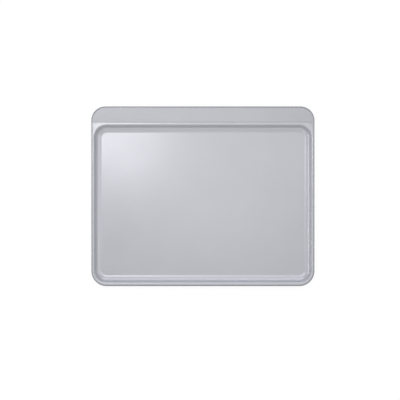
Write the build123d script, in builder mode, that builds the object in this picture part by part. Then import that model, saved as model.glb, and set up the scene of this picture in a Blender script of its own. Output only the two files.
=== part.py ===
from build123d import *
import os
from math import cos, radians, sin

# A pressed cookie sheet, in millimetres. X runs along the grip, Y from the front edge to the grip,
# Z up. The origin is under the middle of the outline, at the height of the floor's underside.

# Overall outline, seen from above
overall_width = 440.0
overall_depth = 354.0
corner_radius = 30.0

# Pressed sheet
sheet_thickness = 0.8

# Recess that holds the bake
recess_depth = 16.0
side_land = 5.4
front_land = 7.1
grip_reach = 36.5
wall_draft = 18.0
cove_radius = 13.5
rim_radius = 3.0

# Step at the foot of the grip, and the grip's slope above it
step_land = 4.1
step_root_radius = 3.0
step_crown_ease = 3.3
step_slope = 26.0
grip_slope = 10.0
grip_corner_start = 0.4

# Rolled edge and the wire inside it
wire_diameter = 3.4
wire_clearance = 0.1
wire_joint_gap = 1.0
curl_turn = 265.0

# Turn of each corner of the outline, and the angle that points up in a section
quarter_turn = 90.0

# Rolled edge, worked out from the wire and the sheet
wire_radius = wire_diameter / 2
curl_inner_radius = wire_radius + wire_clearance
curl_radius = curl_inner_radius + sheet_thickness
step_crown_radius = 2 * curl_radius + step_crown_ease

# Outline, worked out from the overall size
half_width = overall_width / 2
half_depth = overall_depth / 2
edge_x = half_width - curl_radius
edge_y = half_depth - curl_radius
edge_corner_radius = corner_radius - curl_radius
corner_x = half_width - corner_radius
front_corner_y = corner_radius - half_depth

# Recess, worked out from the outline
rim_top = sheet_thickness + recess_depth
recess_width = overall_width - 2 * side_land
recess_length = overall_depth - front_land - grip_reach
recess_middle_y = (front_land - grip_reach) / 2
recess_back_y = half_depth - grip_reach
recess_corner_radius = corner_radius - side_land
wall_skin = sheet_thickness / cos(radians(wall_draft))

# Step, in the plane across it: its root arc is centred above the sheet and its crown arc below
step_y = recess_back_y + step_land
step_rise = radians(step_slope)
grip_rise = radians(grip_slope)
root_centre = Vector(step_y, rim_top + step_root_radius)
step_middle = root_centre + Vector(sin(step_rise), -cos(step_rise)) * step_root_radius
crown_centre = step_middle + Vector(sin(step_rise), -cos(step_rise)) * step_crown_radius
step_end = crown_centre + Vector(-sin(grip_rise), cos(grip_rise)) * step_crown_radius

# Grip, on its own sloping plane that starts at the end of the step
grip_plane = Plane(
    origin=(0, step_end.X, step_end.Y),
    x_dir=(1, 0, 0),
    z_dir=(0, -sin(grip_rise), cos(grip_rise)),
)
grip_length = (edge_y - curl_radius * sin(grip_rise) - step_end.X) / cos(grip_rise)
grip_corner_radius = grip_length + curl_radius - grip_corner_start
grip_corner_x = half_width - grip_corner_radius


def on_grip(x, v):
    """Give the point of the rolled edge's centre line at x, and v up the slope of the grip."""
    return grip_plane.from_local_coords(Vector(x, v, -curl_radius))


def down_slope(slope):
    """Give the direction from the grip down towards the front, at a slope in radians."""
    return Vector(0, -cos(slope), -sin(slope))


# Planes across the rolled edge, where each of its stretches starts. The walk goes from the middle of
# the grip to the right, down the right-hand side and back along the front. Each plane's x points out.
grip_start = Plane(on_grip(0, grip_length), x_dir=grip_plane.y_dir, z_dir=(1, 0, 0))
grip_turn = Plane(on_grip(grip_corner_x, grip_length), x_dir=grip_plane.y_dir, z_dir=(1, 0, 0))
grip_side = Plane(on_grip(edge_x, grip_corner_start), x_dir=(1, 0, 0), z_dir=down_slope(grip_rise))
crown_start = Plane(on_grip(edge_x, 0), x_dir=(1, 0, 0), z_dir=down_slope(grip_rise))
root_reach = step_root_radius + curl_radius
root_start = Plane(
    origin=(
        edge_x,
        root_centre.X + root_reach * sin(step_rise),
        root_centre.Y - root_reach * cos(step_rise),
    ),
    x_dir=(1, 0, 0),
    z_dir=down_slope(step_rise),
)
edge_z = rim_top - curl_radius
side_start = Plane((edge_x, step_y, edge_z), x_dir=(1, 0, 0), z_dir=(0, -1, 0))
front_turn = Plane((edge_x, front_corner_y, edge_z), x_dir=(1, 0, 0), z_dir=(0, -1, 0))
front_start = Plane((corner_x, -edge_y, edge_z), x_dir=(0, -1, 0), z_dir=(-1, 0, 0))

# Straight stretches of the edge, each as its plane and its length
edge_straights = [
    (grip_start, grip_corner_x),
    (grip_side, grip_corner_start),
    (side_start, step_y - front_corner_y),
    (front_start, corner_x),
]

# Bends of the edge, each as its plane, the axis it turns about and its turn in degrees
grip_corner_axis = Axis(on_grip(grip_corner_x, grip_corner_start), grip_plane.z_dir)
crown_axis = Axis((0, crown_centre.X, crown_centre.Y), (1, 0, 0))
root_axis = Axis((0, root_centre.X, root_centre.Y), (1, 0, 0))
front_corner_axis = Axis((corner_x, front_corner_y, 0), (0, 0, 1))
edge_bends = [
    (grip_turn, grip_corner_axis, -quarter_turn),
    (crown_start, crown_axis, step_slope - grip_slope),
    (root_start, root_axis, -step_slope),
    (front_turn, front_corner_axis, -quarter_turn),
]


def carry_round_edge(draw_section):
    """Carry one section along the right-hand half of the edge, stretch by stretch."""
    for plane, length in edge_straights:
        with BuildSketch(plane) as section:
            draw_section()
        extrude(section.sketch, amount=length)
    for plane, axis, turn in edge_bends:
        with BuildSketch(plane) as section:
            draw_section()
        revolve(section.sketch, axis=axis, revolution_arc=turn)


def draw_curl():
    """Draw the rolled edge's section: it leaves the sheet on top and wraps out, down and back in."""
    with BuildLine() as curl_line:
        outside = CenterArc((0, 0), curl_radius, quarter_turn, -curl_turn)
        inside = CenterArc((0, 0), curl_inner_radius, quarter_turn, -curl_turn)
        Line(outside @ 0, inside @ 0)
        Line(outside @ 1, inside @ 1)
    make_face(curl_line.edges())


def draw_wire():
    """Draw the wire's section."""
    Circle(wire_radius)


# Air in the recess, with the cove at the foot of its wall, which is cut out of the sheet below
with BuildPart() as recess_space:
    with BuildSketch(Plane.XY.offset(rim_top)):
        with Locations((0, recess_middle_y)):
            RectangleRounded(recess_width, recess_length, recess_corner_radius)
    extrude(amount=-recess_depth, taper=wall_draft)
    fillet(recess_space.faces().sort_by(Axis.Z)[0].edges(), radius=cove_radius)

# Pressed sheet: floor, cove, wall, rim, step, grip and rolled edge
with BuildPart() as pan_shell:
    # Outside of the recess
    with BuildSketch(Plane.XY.offset(rim_top)):
        with Locations((0, recess_middle_y)):
            RectangleRounded(
                recess_width + 2 * wall_skin,
                recess_length + 2 * wall_skin,
                recess_corner_radius + wall_skin,
            )
    extrude(amount=-rim_top, taper=wall_draft)
    fillet(pan_shell.faces().sort_by(Axis.Z)[0].edges(), radius=cove_radius + sheet_thickness)

    # Level sheet of the rim, out to where the edge starts to roll
    with BuildSketch(Plane.XY.offset(rim_top)) as rim_outline:
        with Locations((0, -edge_y)):
            Rectangle(2 * edge_x, edge_y + step_y, align=(Align.CENTER, Align.MIN))
        fillet(rim_outline.vertices().group_by(Axis.Y)[0], radius=edge_corner_radius)
    extrude(amount=-sheet_thickness)

    # Inside of the recess, and the bend where its wall turns over into the rim, above and below
    add(recess_space.part, mode=Mode.SUBTRACT)
    rim_face = pan_shell.faces().filter_by(Axis.Z).sort_by(Axis.Z)[-1]
    fillet(rim_face.inner_wires()[0].edges(), radius=rim_radius)
    rim_underside = pan_shell.faces().filter_by(Axis.Z).sort_by(Axis.Z)[-2]
    fillet(rim_underside.inner_wires()[0].edges(), radius=rim_radius - sheet_thickness)

    # Step at the foot of the grip, drawn across the sheet
    with BuildSketch(Plane.YZ):
        with BuildLine():
            root_top = CenterArc(root_centre, step_root_radius, -quarter_turn, step_slope)
            root_under = CenterArc(
                root_centre, step_root_radius + sheet_thickness, -quarter_turn, step_slope
            )
            crown_top = CenterArc(
                crown_centre, step_crown_radius, quarter_turn + grip_slope, step_slope - grip_slope
            )
            crown_under = CenterArc(
                crown_centre,
                step_crown_radius - sheet_thickness,
                quarter_turn + grip_slope,
                step_slope - grip_slope,
            )
            Line(root_top @ 0, root_under @ 0)
            Line(crown_top @ 0, crown_under @ 0)
        make_face()
    extrude(amount=edge_x, both=True)

    # Grip, a flat sheet on its slope
    with BuildSketch(grip_plane) as grip_outline:
        Rectangle(2 * edge_x, grip_length, align=(Align.CENTER, Align.MIN))
        fillet(grip_outline.vertices().group_by(Axis.Y)[-1], radius=grip_corner_radius - curl_radius)
    extrude(amount=-sheet_thickness)

    # Rolled edge all the way round
    carry_round_edge(draw_curl)
    mirror(about=Plane.YZ)

# Wire inside the rolled edge, one length with its ends butted at the middle of the grip
with BuildPart() as rim_wire:
    carry_round_edge(draw_wire)
    mirror(about=Plane.YZ)
    with Locations(grip_start):
        Box(2 * wire_diameter, 2 * wire_diameter, wire_joint_gap, mode=Mode.SUBTRACT)

pan_shell.part.label = "pan_shell"
rim_wire.part.label = "rim_wire"

os.makedirs("parts", exist_ok=True)
export_step(pan_shell.part, "parts/pan_shell.step")
export_step(rim_wire.part, "parts/rim_wire.step")
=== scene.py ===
"""A pressed cookie sheet with a rolled edge, dressed round its CAD frame and seen from above."""

import logging
from collections.abc import Sequence
from dataclasses import dataclass
from enum import Enum
from math import acos, cos, pi, radians, sin, sqrt, tan
from typing import Any

import bmesh
import bpy
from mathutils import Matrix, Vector


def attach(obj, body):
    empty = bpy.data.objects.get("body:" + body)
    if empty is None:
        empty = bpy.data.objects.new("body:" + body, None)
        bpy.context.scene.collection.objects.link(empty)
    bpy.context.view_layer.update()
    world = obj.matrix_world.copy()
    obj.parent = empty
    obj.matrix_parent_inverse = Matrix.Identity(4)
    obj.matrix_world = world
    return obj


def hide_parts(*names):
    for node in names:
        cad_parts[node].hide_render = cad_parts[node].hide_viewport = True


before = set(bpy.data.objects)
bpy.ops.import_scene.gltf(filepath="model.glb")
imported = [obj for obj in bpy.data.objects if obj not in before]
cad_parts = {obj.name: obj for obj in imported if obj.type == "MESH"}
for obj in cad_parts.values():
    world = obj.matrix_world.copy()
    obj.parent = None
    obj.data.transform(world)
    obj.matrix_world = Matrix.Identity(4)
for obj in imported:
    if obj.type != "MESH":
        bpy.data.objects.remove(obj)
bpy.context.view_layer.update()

LOG = logging.getLogger("cookie_sheet")
QUARTER = pi / 2
UP = Vector((0.0, 0.0, 1.0))
ACROSS = Vector((1.0, 0.0, 0.0))
FORWARD = Vector((0.0, -1.0, 0.0))
STILL = Vector((0.0, 0.0, 0.0))

# One millimetre in metres, and how near points have to be to be welded, in millimetres
MM = 0.001
WELD = 0.002

# Blender's noise rarely leaves this span
NOISE_SPAN = {"From Min": 0.3, "From Max": 0.7}


# Colour and node helpers


class SeenRay(Enum):
    """The kinds of ray that show the background to the eye, by Blender's names."""

    CAMERA = "Is Camera Ray"
    GLOSSY = "Is Glossy Ray"
    TRANSMISSION = "Is Transmission Ray"


def hex_to_linear(code: str) -> tuple[float, float, float, float]:
    """Turn an sRGB hex colour into Blender's linear colour.

    Args:
        code: Six hex digits, with or without a leading hash.

    Returns:
        Linear red, green, blue and an alpha of one.
    """
    digits = code.lstrip("#")
    parts = [int(digits[i : i + 2], 16) / 255 for i in (0, 2, 4)]
    red, green, blue = (p / 12.92 if p <= 0.04045 else ((p + 0.055) / 1.055) ** 2.4 for p in parts)
    return red, green, blue, 1.0


def add_node(
    tree: bpy.types.NodeTree,
    kind: str,
    settings: dict[str, Any] | None = None,
    values: dict[str | int, Any] | None = None,
    links: dict[str | int, bpy.types.NodeSocket] | None = None,
) -> bpy.types.Node:
    """Add one node with its settings, its plain values and its incoming links.

    Args:
        tree: The node tree that the node goes into.
        kind: Blender's name for the kind of node.
        settings: Attributes of the node.
        values: Values for input sockets, by name or number.
        links: Output sockets to link to input sockets, by name or number.

    Returns:
        The new node.
    """
    node = tree.nodes.new(kind)
    for key, value in (settings or {}).items():
        setattr(node, key, value)
    for key, value in (values or {}).items():
        node.inputs[key].default_value = value
    for key, socket in (links or {}).items():
        tree.links.new(socket, node.inputs[key])
    return node


def new_material(name: str) -> tuple[bpy.types.Material, bpy.types.NodeTree]:
    """Make an empty node material.

    Args:
        name: The material's name.

    Returns:
        The material and its node tree.
    """
    material = bpy.data.materials.new(name)
    material.use_nodes = True
    material.node_tree.nodes.clear()
    return material, material.node_tree


def seen_directly(tree: bpy.types.NodeTree) -> bpy.types.NodeSocket:
    """Tell rays that show the background, as the camera, gloss and glass do, from rays that light.

    Args:
        tree: The node tree that asks.

    Returns:
        A socket that is one for camera, glossy and transmission rays, and zero for the others.
    """
    path = add_node(tree, "ShaderNodeLightPath")
    socket = path.outputs[SeenRay.CAMERA.value]
    for kind in (SeenRay.GLOSSY, SeenRay.TRANSMISSION):
        links = {0: socket, 1: path.outputs[kind.value]}
        socket = add_node(tree, "ShaderNodeMath", {"operation": "MAXIMUM"}, links=links).outputs[0]
    return socket


# Points and meshes


@dataclass(frozen=True)
class FacePoint:
    """A point of a surface, in millimetres.

    Attributes:
        place: Where it is.
        facing: The way out of the surface there.
        painted_shade: How much shade is painted on the surface there, from 0 to 1.
    """

    place: Vector
    facing: Vector
    painted_shade: float = 0.0

    def behind(self, depth: float) -> "FacePoint":
        """Give the point on the other face of a sheet that is depth thick."""
        return FacePoint(self.place - self.facing * depth, -self.facing, self.painted_shade)


@dataclass(frozen=True)
class EdgePoint:
    """A point where the sheet starts to roll, in millimetres.

    Attributes:
        place: Where it is, on the upper face.
        facing: The way out of the upper face.
        outward: The way out over the edge, along the sheet.
    """

    place: Vector
    facing: Vector
    outward: Vector

    def spoke(self, angle: float) -> Vector:
        """Give the direction at an angle round the roll, where a quarter turn is the facing."""
        return self.outward * cos(angle) + self.facing * sin(angle)

    def mirrored(self) -> "EdgePoint":
        """Give the same point on the other half of the sheet."""
        vectors = (self.place, self.facing, self.outward)
        return EdgePoint(*(Vector((-v.x, v.y, v.z)) for v in vectors))


Skin = Sequence[Sequence[FacePoint]]


class MeshMaker:
    """Collects skins of points, welds them and turns them into one smooth mesh."""

    def __init__(self) -> None:
        """Start an empty mesh that remembers each point's facing and how much shade is painted on
        it.
        """
        self.shape = bmesh.new()
        self.facing = self.shape.verts.layers.float_vector.new("facing")
        # Layer of painted shade: how far each point is darkened to stand in for shade on the roll's
        # outer side
        self.painted_shade = self.shape.verts.layers.float.new("painted_shade")

    def add_skin(self, rows: Skin) -> None:
        """Add one skin of quads.

        Args:
            rows: Rows of points, all equally long.
        """
        made = []
        for row in rows:
            line = []
            for point in row:
                vert = self.shape.verts.new(point.place * MM)
                vert[self.facing] = point.facing
                vert[self.painted_shade] = point.painted_shade
                line.append(vert)
            made.append(line)
        for near, far in zip(made, made[1:]):
            for a, b, c, d in zip(near, near[1:], far[1:], far):
                self.shape.faces.new((a, b, c, d))

    def add_sheet(self, rows: Skin, thickness: float) -> None:
        """Add both faces of a sheet.

        Args:
            rows: Rows of points on the upper face.
            thickness: The sheet's thickness in millimetres.
        """
        self.add_skin(rows)
        self.add_skin([[point.behind(thickness) for point in row] for row in rows])

    def finish(self, name: str, material: bpy.types.Material) -> bpy.types.Object:
        """Weld the skins and make the object.

        Args:
            name: The piece's name.
            material: The piece's finish.

        Returns:
            The new object, linked to the scene.
        """
        bmesh.ops.remove_doubles(self.shape, verts=self.shape.verts, dist=WELD * MM)
        bmesh.ops.recalc_face_normals(self.shape, faces=self.shape.faces)
        facings = [vert[self.facing].normalized() for vert in self.shape.verts]
        for face in self.shape.faces:
            face.smooth = True
        open_edges = sum(not edge.is_manifold for edge in self.shape.edges)
        mesh = bpy.data.meshes.new(name)
        self.shape.to_mesh(mesh)
        self.shape.free()
        mesh.normals_split_custom_set_from_vertices(facings)
        mesh.materials.append(material)
        piece = bpy.data.objects.new(name, mesh)
        bpy.context.scene.collection.objects.link(piece)
        LOG.info("%s: %d faces, %d open edges", name, len(mesh.polygons), open_edges)
        return piece


def spread(start: float, end: float, steps: int) -> list[float]:
    """Give evenly spaced numbers from start to end, both included."""
    return [start + (end - start) * i / steps for i in range(steps + 1)]


def ease(share: float) -> float:
    """Turn a share into one that starts and ends softly, held between zero and one."""
    held = min(1.0, max(0.0, share))
    return held * held * (3.0 - 2.0 * held)


# The object


@dataclass(frozen=True)
class Spoke:
    """One line out over the recess and its rim, seen from above, in millimetres.

    Attributes:
        root: Where it starts, on the line of the corner centres.
        way: Which way it runs.
        rim_end: Where the level rim ends.
    """

    root: Vector
    way: Vector
    rim_end: Vector

    def mirrored(self) -> "Spoke":
        """Give the same line on the other half of the sheet."""
        return Spoke(*(Vector((-v.x, v.y, v.z)) for v in (self.root, self.way, self.rim_end)))


@dataclass(frozen=True)
class PanShell:
    """The one pressed sheet: floor, cove, wall, rim, step, grip and rolled edge.

    Sizes are in millimetres and angles in degrees. Down to roll_turn they are the CAD model's own.
    """

    overall_width: float = 440.0
    overall_depth: float = 354.0
    corner_radius: float = 30.0
    thickness: float = 0.8
    recess_depth: float = 16.0
    side_land: float = 5.4
    front_land: float = 7.1
    grip_reach: float = 36.5
    wall_draft: float = 18.0
    cove_radius: float = 13.5
    rim_radius: float = 3.0
    step_land: float = 4.1
    step_root_radius: float = 3.0
    step_crown_ease: float = 3.3
    step_slope: float = 26.0
    grip_slope: float = 10.0
    grip_corner_start: float = 0.4
    roll_radius: float = 2.6
    roll_turn: float = 265.0

    # How far the roll's outside lies inside the CAD solid's, so that the piece stays in the CAD box
    roll_ease: float = 0.05

    # Angle round the roll, up from level, at which the most shade is painted on it, how far the
    # painted shade reaches either way from there, and a factor that widens the stretch that is fully
    # shaded
    roll_shade_at: float = 20.0
    roll_shade_reach: float = 95.0
    roll_shade_plateau: float = 1.6

    # Share of the grip's length past which the roll's painted shade begins to show on it
    crest_share: float = 0.95

    # How finely the surfaces are divided
    cell: float = 9.5
    floor_steps: int = 3
    grip_steps: int = 4
    corner_steps: int = 18
    cove_steps: int = 12
    bend_steps: int = 8
    roll_steps: int = 30
    tip_steps: int = 6

    @property
    def edge_x(self) -> float:
        """Give x where the sheet starts to roll at the sides."""
        return self.overall_width / 2 - self.roll_radius

    @property
    def edge_y(self) -> float:
        """Give the distance in y from the middle to where the sheet starts to roll."""
        return self.overall_depth / 2 - self.roll_radius

    @property
    def rim_top(self) -> float:
        """Give the height of the rim's upper face."""
        return self.thickness + self.recess_depth

    @property
    def core_x(self) -> float:
        """Give x of the recess's corner centres."""
        return self.overall_width / 2 - self.corner_radius

    @property
    def recess_corner(self) -> float:
        """Give the radius of the recess's corners at the height of the rim."""
        return self.corner_radius - self.side_land

    @property
    def core_front(self) -> float:
        """Give y of the recess's front corner centres."""
        return self.front_land - self.overall_depth / 2 + self.recess_corner

    @property
    def core_back(self) -> float:
        """Give y of the recess's back corner centres."""
        return self.overall_depth / 2 - self.grip_reach - self.recess_corner

    @property
    def step_y(self) -> float:
        """Give y where the level rim ends and the step starts."""
        return self.overall_depth / 2 - self.grip_reach + self.step_land

    @property
    def wall_lean(self) -> float:
        """Give the wall's slope in radians."""
        return QUARTER - radians(self.wall_draft)

    def recess_section(self) -> list[tuple[float, float, float]]:
        """Walk the recess's section from the corner centres out to the level rim.

        Returns:
            Each ring's reach out from the corner centres, its height and its slope in radians.
        """
        lean = self.wall_lean
        bend = self.rim_radius * tan(lean / 2)
        rim_reach = self.recess_corner + bend
        drop = self.recess_depth * tan(radians(self.wall_draft))
        floor_reach = self.recess_corner - drop - self.cove_radius * tan(lean / 2)
        rings = [
            (floor_reach * share, self.thickness, 0.0)
            for share in spread(0.0, 1.0, self.floor_steps)[:-1]
        ]
        for slope in spread(0.0, lean, self.cove_steps):
            rings.append(
                (
                    floor_reach + self.cove_radius * sin(slope),
                    self.thickness + self.cove_radius * (1 - cos(slope)),
                    slope,
                )
            )
        for slope in spread(lean, 0.0, self.bend_steps):
            rings.append(
                (
                    rim_reach - self.rim_radius * sin(slope),
                    self.rim_top - self.rim_radius * (1 - cos(slope)),
                    slope,
                )
            )
        return rings

    def step_section(self) -> list[tuple[float, float, float]]:
        """Walk the step's section from the level rim up to the grip.

        Returns:
            For each row its y, its height and its slope in radians.
        """
        steep, easy = radians(self.step_slope), radians(self.grip_slope)
        root, crown = self.step_root_radius, 2 * self.roll_radius + self.step_crown_ease
        rows = [
            (self.step_y + root * sin(slope), self.rim_top + root * (1 - cos(slope)), slope)
            for slope in spread(0.0, steep, self.bend_steps)
        ]
        top_y, top_z, _ = rows[-1]
        centre_y, centre_z = top_y + crown * sin(steep), top_z - crown * cos(steep)
        for slope in spread(steep, easy, self.bend_steps)[1:]:
            rows.append((centre_y - crown * sin(slope), centre_z + crown * cos(slope), slope))
        return rows

    def column_reaches(self) -> list[float]:
        """Place the columns of the step and the grip.

        Returns:
            The columns' x, from the middle of the sheet to its side.
        """
        straight = spread(0.0, self.core_x, round(self.core_x / self.cell))
        radius = self.grip_corner
        centre = self.edge_x - radius
        return straight + [
            centre + radius * sin(turn) for turn in spread(0.0, QUARTER, self.corner_steps)
        ]

    @property
    def grip_length(self) -> float:
        """Measure the grip up its slope.

        Returns:
            The length from the step to where the sheet starts to roll.
        """
        easy = radians(self.grip_slope)
        foot = self.step_section()[-1][0]
        return (self.edge_y - self.roll_radius * sin(easy) - foot) / cos(easy)

    @property
    def grip_corner(self) -> float:
        """Give the radius of the grip's corners where the sheet starts to roll."""
        return self.grip_length - self.grip_corner_start

    def right_spokes(self) -> list[Spoke]:
        """Lay out the lines over the right half, from the back's middle to the front's middle.

        Returns:
            The lines, clockwise as seen from above.
        """
        spokes = []
        back, front = self.core_back, self.core_front
        for x in self.column_reaches():
            root = Vector((min(x, self.core_x), back, 0.0))
            end = Vector((x, self.step_y, 0.0))
            way = -FORWARD if x <= self.core_x else (end - root).normalized()
            spokes.append(Spoke(root, way, end))
        first = acos(spokes[-1].way.x)
        for turn in spread(first, 0.0, self.corner_steps)[1:]:
            root = Vector((self.core_x, back, 0.0))
            end = Vector((self.edge_x, back + (self.edge_x - self.core_x) * tan(turn), 0.0))
            spokes.append(Spoke(root, Vector((cos(turn), sin(turn), 0.0)), end))
        for y in spread(back, front, round((back - front) / self.cell))[1:-1]:
            root, end = Vector((self.core_x, y, 0.0)), Vector((self.edge_x, y, 0.0))
            spokes.append(Spoke(root, ACROSS, end))
        outer = self.corner_radius - self.roll_radius
        centre = Vector((self.core_x, self.corner_radius - self.overall_depth / 2, 0.0))
        for turn in spread(0.0, QUARTER, self.corner_steps):
            way = Vector((cos(turn), -sin(turn), 0.0))
            spokes.append(Spoke(Vector((self.core_x, front, 0.0)), way, centre + way * outer))
        for x in reversed(spread(0.0, self.core_x, round(self.core_x / self.cell))[:-1]):
            spokes.append(Spoke(Vector((x, front, 0.0)), FORWARD, Vector((x, -self.edge_y, 0.0))))
        return spokes

    def spokes(self) -> list[Spoke]:
        """Give the lines over the whole sheet as a closed loop, the first one again at the end."""
        right = self.right_spokes()
        return right + [spoke.mirrored() for spoke in reversed(right)]

    def recess_rows(self) -> list[list[FacePoint]]:
        """Lay out the recess and the level rim round it.

        Returns:
            The rings of points, from the corner centres outwards.
        """
        spokes = self.spokes()
        rows = []
        for reach, height, slope in self.recess_section():
            rows.append(
                [
                    FacePoint(
                        spoke.root + spoke.way * reach + UP * height,
                        UP * cos(slope) - spoke.way * sin(slope),
                    )
                    for spoke in spokes
                ]
            )
        outermost = rows[-1]
        # The rim's outer row takes the painted shade of the roll where the sheet starts to roll
        for share, painted_shade in ((0.5, 0.0), (1.0, self.painted_shade_at(QUARTER))):
            row = []
            for inner, spoke in zip(outermost, spokes):
                place = inner.place.lerp(spoke.rim_end + UP * self.rim_top, share)
                row.append(FacePoint(place, UP, painted_shade))
            rows.append(row)
        return rows

    def floor_rows(self) -> list[list[FacePoint]]:
        """Lay out the floor between the corner centres.

        Returns:
            The rows of points, from the back to the front.
        """
        half = spread(0.0, self.core_x, round(self.core_x / self.cell))
        columns = [-x for x in reversed(half[1:])] + half
        back, front = self.core_back, self.core_front
        return [
            [FacePoint(Vector((x, y, self.thickness)), UP) for x in columns]
            for y in spread(back, front, round((back - front) / self.cell))
        ]

    def grip_rows(self) -> list[list[FacePoint]]:
        """Lay out the step and the grip.

        Returns:
            The rows of points, from the level rim to the rolled edge.
        """
        half = self.column_reaches()
        columns = [-x for x in reversed(half[1:])] + half
        rows = []
        for y, z, slope in self.step_section():
            facing = Vector((0.0, -sin(slope), cos(slope)))
            rows.append([FacePoint(Vector((x, y, z)), facing) for x in columns])
        for share in (*spread(0.0, self.crest_share, self.grip_steps)[1:], 1.0):
            # The grip's last row takes the painted shade of the roll where the sheet starts to roll
            painted_shade = self.painted_shade_at(QUARTER) if share == 1.0 else 0.0
            places = [self.on_grip(x, self.grip_top(x) * share) for x in columns]
            rows.append([FacePoint(place, self.grip_facing, painted_shade) for place in places])
        return rows

    @property
    def grip_facing(self) -> Vector:
        """Give the way out of the grip's upper face."""
        easy = radians(self.grip_slope)
        return Vector((0.0, -sin(easy), cos(easy)))

    @property
    def grip_rise(self) -> Vector:
        """Give the way up the grip's slope."""
        easy = radians(self.grip_slope)
        return Vector((0.0, cos(easy), sin(easy)))

    def on_grip(self, x: float, v: float) -> Vector:
        """Give the point of the grip's upper face at x, and v up its slope."""
        y, z, _ = self.step_section()[-1]
        return Vector((x, y, z)) + self.grip_rise * v

    def grip_top(self, x: float) -> float:
        """Give how far up the slope the grip reaches at x before it rolls."""
        past = max(0.0, abs(x) - (self.edge_x - self.grip_corner))
        return self.grip_corner_start + sqrt(max(0.0, self.grip_corner**2 - past**2))

    def painted_shade_at(self, angle: float) -> float:
        """Give how much shade is painted on the roll at an angle round it, in radians."""
        away = abs(angle - radians(self.roll_shade_at)) / radians(self.roll_shade_reach)
        return ease(self.roll_shade_plateau * (1.0 - away))

    def edge_points(self) -> list[EdgePoint]:
        """Walk the line where the sheet starts to roll, once round from the middle of the grip.

        Returns:
            The points as a closed loop, the first one again at the end.
        """
        rows = self.grip_rows()
        middle = len(rows[0]) // 2
        centre = self.on_grip(self.edge_x - self.grip_corner, self.grip_corner_start)
        right = []
        for point in rows[-1][middle:]:
            past = point.place - centre
            out = past.normalized() if past.x > 0.0 else self.grip_rise
            right.append(EdgePoint(point.place, point.facing, out))
        for row in reversed(rows[:-1]):
            right.append(EdgePoint(row[-1].place, row[-1].facing, ACROSS))
        spokes = self.right_spokes()
        corner = next(i for i, s in enumerate(spokes) if abs(s.rim_end.x - self.edge_x) < WELD)
        centre = Vector((self.core_x, self.corner_radius - self.overall_depth / 2, 0.0))
        for spoke in spokes[corner + 1 :]:
            past = spoke.rim_end - centre
            out = ACROSS if past.y >= 0.0 else past.normalized()
            out = FORWARD if past.x <= 0.0 else out
            right.append(EdgePoint(spoke.rim_end + UP * self.rim_top, UP, out))
        return right + [point.mirrored() for point in reversed(right)]

    def roll_rows(self, edge: Sequence[EdgePoint]) -> tuple[Skin, Skin]:
        """Roll the edge round its wire.

        Args:
            edge: The points where the sheet starts to roll.

        Returns:
            The rows of the roll's outside, and the rows round its cut edge.
        """
        outside = self.roll_radius - self.roll_ease
        half = self.thickness / 2
        middle = outside - half
        end = QUARTER - radians(self.roll_turn) + half / middle
        centres = [point.place - point.facing * outside for point in edge]
        roll = []
        for angle in spread(QUARTER, end, self.roll_steps):
            # Painted shade on the roll, darkest on its outer side
            painted_shade = self.painted_shade_at(angle)
            roll.append(
                [
                    FacePoint(centre + point.spoke(angle) * outside, point.spoke(angle), painted_shade)
                    for centre, point in zip(centres, edge)
                ]
            )
        tip = []
        for turn in spread(0.0, pi, self.tip_steps):
            row = []
            for centre, point in zip(centres, edge):
                facing = point.spoke(end) * cos(turn) + point.spoke(end - QUARTER) * sin(turn)
                row.append(FacePoint(centre + point.spoke(end) * middle + facing * half, facing))
            tip.append(row)
        return roll, tip

    def build(self, finish: bpy.types.Material) -> bpy.types.Object:
        """Build the sheet and set it in the place of its CAD solid.

        Args:
            finish: The coating.

        Returns:
            The finished piece.
        """
        maker = MeshMaker()
        for rows in (self.floor_rows(), self.recess_rows(), self.grip_rows()):
            maker.add_sheet(rows, self.thickness)
        roll, tip = self.roll_rows(self.edge_points())
        maker.add_sheet(roll, self.thickness)
        maker.add_skin(tip)
        piece = maker.finish("pressed_sheet", finish)
        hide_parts("pan_shell")
        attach(piece, "root")
        return piece


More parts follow.
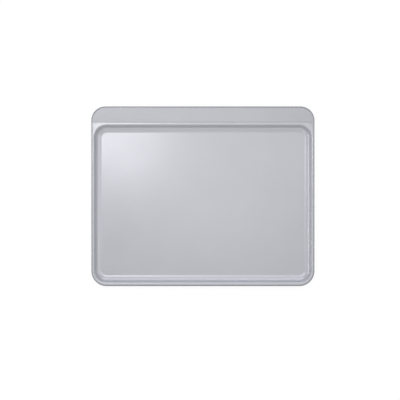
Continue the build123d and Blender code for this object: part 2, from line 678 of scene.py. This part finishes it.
@dataclass(frozen=True)
class RimWire:
    """The wire inside the rolled edge, one length with its ends butted at the middle of the grip.

    Sizes are in millimetres.
    """

    diameter: float = 3.4
    joint_gap: float = 1.0
    chamfer: float = 0.3
    round_steps: int = 20

    def centre_line(self, shell: PanShell) -> list[EdgePoint]:
        """Follow the shell's edge from one end of the wire to the other.

        Args:
            shell: The sheet that the wire lies in.

        Returns:
            Edge points whose places are on the wire's own centre line.
        """
        edge = shell.edge_points()
        half = ACROSS * (self.joint_gap / 2)
        first, last = edge[0], edge[-1]
        walk = [EdgePoint(first.place + half, first.facing, first.outward), *edge[1:-1]]
        walk.append(EdgePoint(last.place - half, last.facing, last.outward))
        return [
            EdgePoint(p.place - p.facing * shell.roll_radius, p.facing, p.outward) for p in walk
        ]

    def ring(
        self, point: EdgePoint, radius: float, shift: Vector = STILL, facing: Vector | None = None
    ) -> list[FacePoint]:
        """Draw one ring of the wire.

        Args:
            point: The point of the centre line that the ring goes round.
            radius: The ring's radius.
            shift: How far the ring is moved along the wire.
            facing: The way out of the surface, or None where it is straight out from the centre.

        Returns:
            The ring, closed.
        """
        ring = []
        for angle in spread(0.0, 2 * pi, self.round_steps):
            out = point.spoke(angle)
            ring.append(FacePoint(point.place + shift + out * radius, facing or out))
        return ring

    def build(self, shell: PanShell, finish: bpy.types.Material) -> bpy.types.Object:
        """Build the wire and set it in the place of its CAD solid.

        Args:
            shell: The sheet that the wire lies in.
            finish: The wire's surface.

        Returns:
            The finished piece.
        """
        walk = self.centre_line(shell)
        radius = self.diameter / 2
        ends = []
        for end, inward in ((walk[0], ACROSS), (walk[-1], -ACROSS)):
            ends.append(
                [
                    self.ring(end, 0.0, facing=-inward),
                    self.ring(end, radius - self.chamfer, facing=-inward),
                    self.ring(end, radius, inward * self.chamfer),
                ]
            )
        body = [self.ring(point, radius) for point in walk[1:-1]]
        maker = MeshMaker()
        maker.add_skin([*ends[0], *body, *reversed(ends[1])])
        piece = maker.finish("edge_wire", finish)
        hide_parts("rim_wire")
        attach(piece, "root")
        return piece


# Finishes


@dataclass(frozen=True)
class PanCoating:
    """Non-stick silicone coating with metal flake, sprayed on steel sheet and cured in an oven.

    Spraying leaves a faint orange peel and curing a satin skin, so the eye sees wide soft
    highlights and no mirror. The pigment is a pale grey with a trace of violet. About a quarter of
    it is flake, which gives the silver look and makes the tone shift slightly from place to place.
    The roll's outer side is painted darker as shade, and is made a little smoother there.
    """

    pigment: str = "#BDBEC4"
    pigment_light: str = "#C2C3C9"
    painted_shade_tone: str = "#7C7E84"
    metallic: float = 0.25
    ior: float = 1.42
    roughness: float = 0.32
    roughness_swing: float = 0.02
    # Change of roughness along the roll where its shade is painted
    roll_roughness_change: float = -0.08

    # Pattern sizes are in millimetres. Orange peel is about 0.8 mm from crest to crest, and is drawn
    # at 2.4 mm, which is as fine as shows
    peel_size: float = 2.4
    peel_height: float = 0.012
    cloud_size: float = 55.0
    # Size of the spots that vary the painted shade on the roll
    shade_spot_size: float = 9.0

    # Share of the darker tone painted on the roll as shade where the mask is full, from its lightest
    # to its darkest spots
    shade_least_share: float = 0.74
    shade_most_share: float = 0.86

    def material(self) -> bpy.types.Material:
        """Build the node material.

        Returns:
            The coating's material.
        """
        material, tree = new_material("pan_coating")
        place = add_node(tree, "ShaderNodeTexCoord").outputs["Object"]
        cloud = add_node(
            tree,
            "ShaderNodeTexNoise",
            values={"Scale": 1 / (self.cloud_size * MM), "Detail": 3.0, "Roughness": 0.55},
            links={"Vector": place},
        )
        peel = add_node(
            tree,
            "ShaderNodeTexNoise",
            values={"Scale": 1 / (self.peel_size * MM), "Detail": 2.0, "Roughness": 0.5},
            links={"Vector": place},
        )
        tone = add_node(
            tree,
            "ShaderNodeMix",
            {"data_type": "RGBA"},
            {6: hex_to_linear(self.pigment), 7: hex_to_linear(self.pigment_light)},
            {0: cloud.outputs["Fac"]},
        )
        # Painted shade: the roll's outer side is mixed toward a darker tone, varied in spots
        shade_noise = add_node(
            tree,
            "ShaderNodeTexNoise",
            values={"Scale": 1 / (self.shade_spot_size * MM), "Detail": 2.0, "Roughness": 0.5},
            links={"Vector": place},
        )
        shade_spots = add_node(
            tree,
            "ShaderNodeMapRange",
            values=NOISE_SPAN | {"To Min": self.shade_least_share, "To Max": self.shade_most_share},
            links={"Value": shade_noise.outputs["Fac"]},
        )
        shade_place = add_node(tree, "ShaderNodeAttribute", {"attribute_name": "painted_shade"})
        painted_shade = add_node(
            tree,
            "ShaderNodeMath",
            {"operation": "MULTIPLY"},
            links={0: shade_spots.outputs["Result"], 1: shade_place.outputs["Fac"]},
        )
        # Mix the coat's tone toward the darker tone of the painted shade
        colour = add_node(
            tree,
            "ShaderNodeMix",
            {"data_type": "RGBA"},
            {7: hex_to_linear(self.painted_shade_tone)},
            {0: painted_shade.outputs[0], 6: tone.outputs[2]},
        )
        gloss = add_node(
            tree,
            "ShaderNodeMapRange",
            values=NOISE_SPAN
            | {
                "To Min": self.roughness - self.roughness_swing,
                "To Max": self.roughness + self.roughness_swing,
            },
            links={"Value": cloud.outputs["Fac"]},
        )
        smoother = add_node(
            tree,
            "ShaderNodeMath",
            {"operation": "MULTIPLY_ADD"},
            {1: self.roll_roughness_change},
            {0: painted_shade.outputs[0], 2: gloss.outputs["Result"]},
        )
        bump = add_node(
            tree,
            "ShaderNodeBump",
            values={"Strength": 1.0, "Distance": self.peel_height * MM},
            links={"Height": peel.outputs["Fac"]},
        )
        shader = add_node(
            tree,
            "ShaderNodeBsdfPrincipled",
            values={"Metallic": self.metallic, "IOR": self.ior},
            links={
                "Base Color": colour.outputs[2],
                "Roughness": smoother.outputs[0],
                "Normal": bump.outputs["Normal"],
            },
        )
        add_node(tree, "ShaderNodeOutputMaterial", links={"Surface": shader.outputs[0]})
        return material


@dataclass(frozen=True)
class GalvanisedWire:
    """Drawn steel wire with a thin zinc coat.

    Drawing leaves fine marks in the wire, and the zinc a soft grey sheen with dull patches.
    """

    zinc: str = "#B4B6B9"
    dull: str = "#8F9296"
    roughness: float = 0.42
    roughness_swing: float = 0.1

    # Pattern sizes are in millimetres. Draw marks are about 0.15 mm apart, and are drawn as a grain
    # of 0.5 mm, because the wire shows only through the narrow mouth of the roll
    patch_size: float = 4.0
    mark_size: float = 0.5
    mark_height: float = 0.02

    def material(self) -> bpy.types.Material:
        """Build the node material.

        Returns:
            The wire's material.
        """
        material, tree = new_material("wire_steel")
        place = add_node(tree, "ShaderNodeTexCoord").outputs["Object"]
        patch = add_node(
            tree,
            "ShaderNodeTexNoise",
            values={"Scale": 1 / (self.patch_size * MM), "Detail": 3.0},
            links={"Vector": place},
        )
        marks = add_node(
            tree,
            "ShaderNodeTexNoise",
            values={"Scale": 1 / (self.mark_size * MM), "Detail": 1.0},
            links={"Vector": place},
        )
        colour = add_node(
            tree,
            "ShaderNodeMix",
            {"data_type": "RGBA"},
            {6: hex_to_linear(self.zinc), 7: hex_to_linear(self.dull)},
            {0: patch.outputs["Fac"]},
        )
        gloss = add_node(
            tree,
            "ShaderNodeMapRange",
            values=NOISE_SPAN
            | {
                "To Min": self.roughness - self.roughness_swing,
                "To Max": self.roughness + self.roughness_swing,
            },
            links={"Value": patch.outputs["Fac"]},
        )
        bump = add_node(
            tree,
            "ShaderNodeBump",
            values={"Strength": 1.0, "Distance": self.mark_height * MM},
            links={"Height": marks.outputs["Fac"]},
        )
        shader = add_node(
            tree,
            "ShaderNodeBsdfPrincipled",
            values={"Metallic": 1.0},
            links={
                "Base Color": colour.outputs[2],
                "Roughness": gloss.outputs["Result"],
                "Normal": bump.outputs["Normal"],
            },
        )
        add_node(tree, "ShaderNodeOutputMaterial", links={"Surface": shader.outputs[0]})
        return material


# Stage, light and camera


@dataclass(frozen=True)
class StageFloor:
    """White paper under the object. The camera sees it white, with the object's own soft shadow.

    Its reach is in metres. Its drop below the object, which keeps their faces apart, is in
    millimetres.
    """

    reach: float = 4.0
    drop: float = 0.05

    # The paper that lights the object, and its glow and shade as the camera sees it
    paper: str = "#989898"
    glow: float = 0.9
    shade: float = 0.15

    def build(self) -> bpy.types.Object:
        """Build the floor.

        Returns:
            The floor.
        """
        mesh = bpy.data.meshes.new("floor")
        side, level = self.reach, -self.drop * MM
        corners = [(-side, -side), (side, -side), (side, side), (-side, side)]
        mesh.from_pydata([(x, y, level) for x, y in corners], [], [(0, 1, 2, 3)])
        mesh.materials.append(self.material())
        floor = bpy.data.objects.new("floor", mesh)
        bpy.context.scene.collection.objects.link(floor)
        return floor

    def material(self) -> bpy.types.Material:
        """Build paper that is white to the camera and in reflections, and plain diffuse otherwise.

        Returns:
            The paper's material.
        """
        material, tree = new_material("paper")
        paper = add_node(tree, "ShaderNodeBsdfDiffuse", values={"Color": hex_to_linear(self.paper)})
        grey = (self.shade, self.shade, self.shade, 1.0)
        faint = add_node(tree, "ShaderNodeBsdfDiffuse", values={"Color": grey})
        glow = add_node(tree, "ShaderNodeEmission", values={"Strength": self.glow})
        white = add_node(
            tree, "ShaderNodeAddShader", links={0: faint.outputs[0], 1: glow.outputs[0]}
        )
        mixed = add_node(
            tree,
            "ShaderNodeMixShader",
            links={0: seen_directly(tree), 1: paper.outputs[0], 2: white.outputs[0]},
        )
        add_node(tree, "ShaderNodeOutputMaterial", links={"Surface": mixed.outputs[0]})
        return material


@dataclass(frozen=True)
class Lamp:
    """One soft box. Places and sizes are in metres, power in watts."""

    name: str
    place: tuple[float, float, float]
    target: tuple[float, float, float]
    size: tuple[float, float]
    power: float
    tint: str = "#FFFFFF"

    def build(self) -> bpy.types.Object:
        """Build the lamp, aimed at its target and hidden from the camera.

        Returns:
            The lamp.
        """
        data = bpy.data.lights.new(self.name, "AREA")
        data.shape = "RECTANGLE"
        data.size, data.size_y = self.size
        data.energy = self.power
        data.color = hex_to_linear(self.tint)[:3]
        lamp = bpy.data.objects.new(self.name, data)
        lamp.location = self.place
        aim = Vector(self.target) - Vector(self.place)
        lamp.rotation_euler = aim.to_track_quat("-Z", "Y").to_euler()
        lamp.visible_camera = False
        bpy.context.scene.collection.objects.link(lamp)
        return lamp


@dataclass(frozen=True)
class Studio:
    """White paper, a soft sky and a few soft boxes."""

    sky: str = "#FFFFFF"
    sky_strength: float = 0.35

    # Each lamp's name, place, target, size and power, and its tint where it isn't white
    lamps: tuple[Lamp, ...] = (
        Lamp("key", (-0.24, 0.165, 0.8), (-0.17, 0.12, 0.0), (0.15, 0.15), 0.62),
        Lamp("left_low", (-1.17, 0.03, 0.15), (0.1, 0.0, 0.0), (0.9, 0.25), 2.75),
        Lamp("back_low", (0.0, 1.55, 0.41), (0.0, 0.0, 0.0), (1.2, 0.4), 5.3, "#F0F3FF"),
        Lamp("back_high", (0.0, 0.637, 1.576), (0.0, 0.0, 0.0), (0.9, 0.9), 3.7),
        Lamp("right_back", (0.795, 0.459, 1.311), (0.0, 0.0, 0.0), (0.7, 0.7), 1.05),
        Lamp("right_high", (1.23, 0.0, 1.03), (0.0, 0.0, 0.0), (0.9, 0.7), 2.8),
        Lamp("front_left", (-0.8, -0.8, 1.13), (0.0, 0.0, 0.0), (0.8, 0.7), 2.65),
        Lamp("front_low", (0.0, -1.55, 0.41), (0.0, 0.0, 0.0), (1.2, 0.4), 1.5),
        Lamp("grip_glow", (0.05, -0.06, 0.8), (0.02, 0.16, 0.02), (0.3, 0.15), 0.13),
    )

    def build(self) -> None:
        """Build the sky, the floor and the lamps."""
        world = bpy.data.worlds.new("studio")
        world.use_nodes = True
        tree = world.node_tree
        tree.nodes.clear()
        soft = add_node(
            tree,
            "ShaderNodeBackground",
            values={"Color": hex_to_linear(self.sky), "Strength": self.sky_strength},
        )
        seen = {"Color": (1.0, 1.0, 1.0, 1.0), "Strength": 1.0}
        white = add_node(tree, "ShaderNodeBackground", values=seen)
        mixed = add_node(
            tree,
            "ShaderNodeMixShader",
            links={0: seen_directly(tree), 1: soft.outputs[0], 2: white.outputs[0]},
        )
        add_node(tree, "ShaderNodeOutputWorld", links={"Surface": mixed.outputs[0]})
        bpy.context.scene.world = world
        StageFloor().build()
        for lamp in self.lamps:
            lamp.build()
            LOG.info("lamp %s", lamp.name)


@dataclass(frozen=True)
class OverheadCamera:
    """The camera straight above the sheet. Lengths are in metres, picture places in pixels."""

    distance: float = 2.0
    rim_height: float = 0.0168
    metres_per_pixel: float = 0.0019696
    picture_width: float = 400.0
    sheet_middle: tuple[float, float] = (202.9, 196.4)
    clip_near: float = 0.05
    clip_far: float = 50.0

    def build(self) -> bpy.types.Object:
        """Build the camera so that the middle of the sheet lands at its place in the picture.

        Returns:
            The camera.
        """
        data = bpy.data.cameras.new("camera")
        data.lens = data.sensor_width * self.distance / (self.metres_per_pixel * self.picture_width)
        data.clip_start, data.clip_end = self.clip_near, self.clip_far
        camera = bpy.data.objects.new("camera", data)
        half = self.picture_width / 2
        right = (self.sheet_middle[0] - half) * self.metres_per_pixel
        above = (half - self.sheet_middle[1]) * self.metres_per_pixel
        camera.location = (-right, -above, self.rim_height + self.distance)
        bpy.context.scene.collection.objects.link(camera)
        bpy.context.scene.camera = camera
        return camera


def main() -> None:
    """Build the camera, the object and the studio in order."""
    logging.basicConfig(level=logging.INFO, format="%(name)s: %(message)s")
    bpy.context.scene.view_settings.view_transform = "Standard"
    OverheadCamera().build()
    shell = PanShell()
    for piece in (
        shell.build(PanCoating().material()),
        RimWire().build(shell, GalvanisedWire().material()),
    ):
        LOG.info("%s is in place", piece.name)
    Studio().build()


if __name__ == "__main__":
    main()
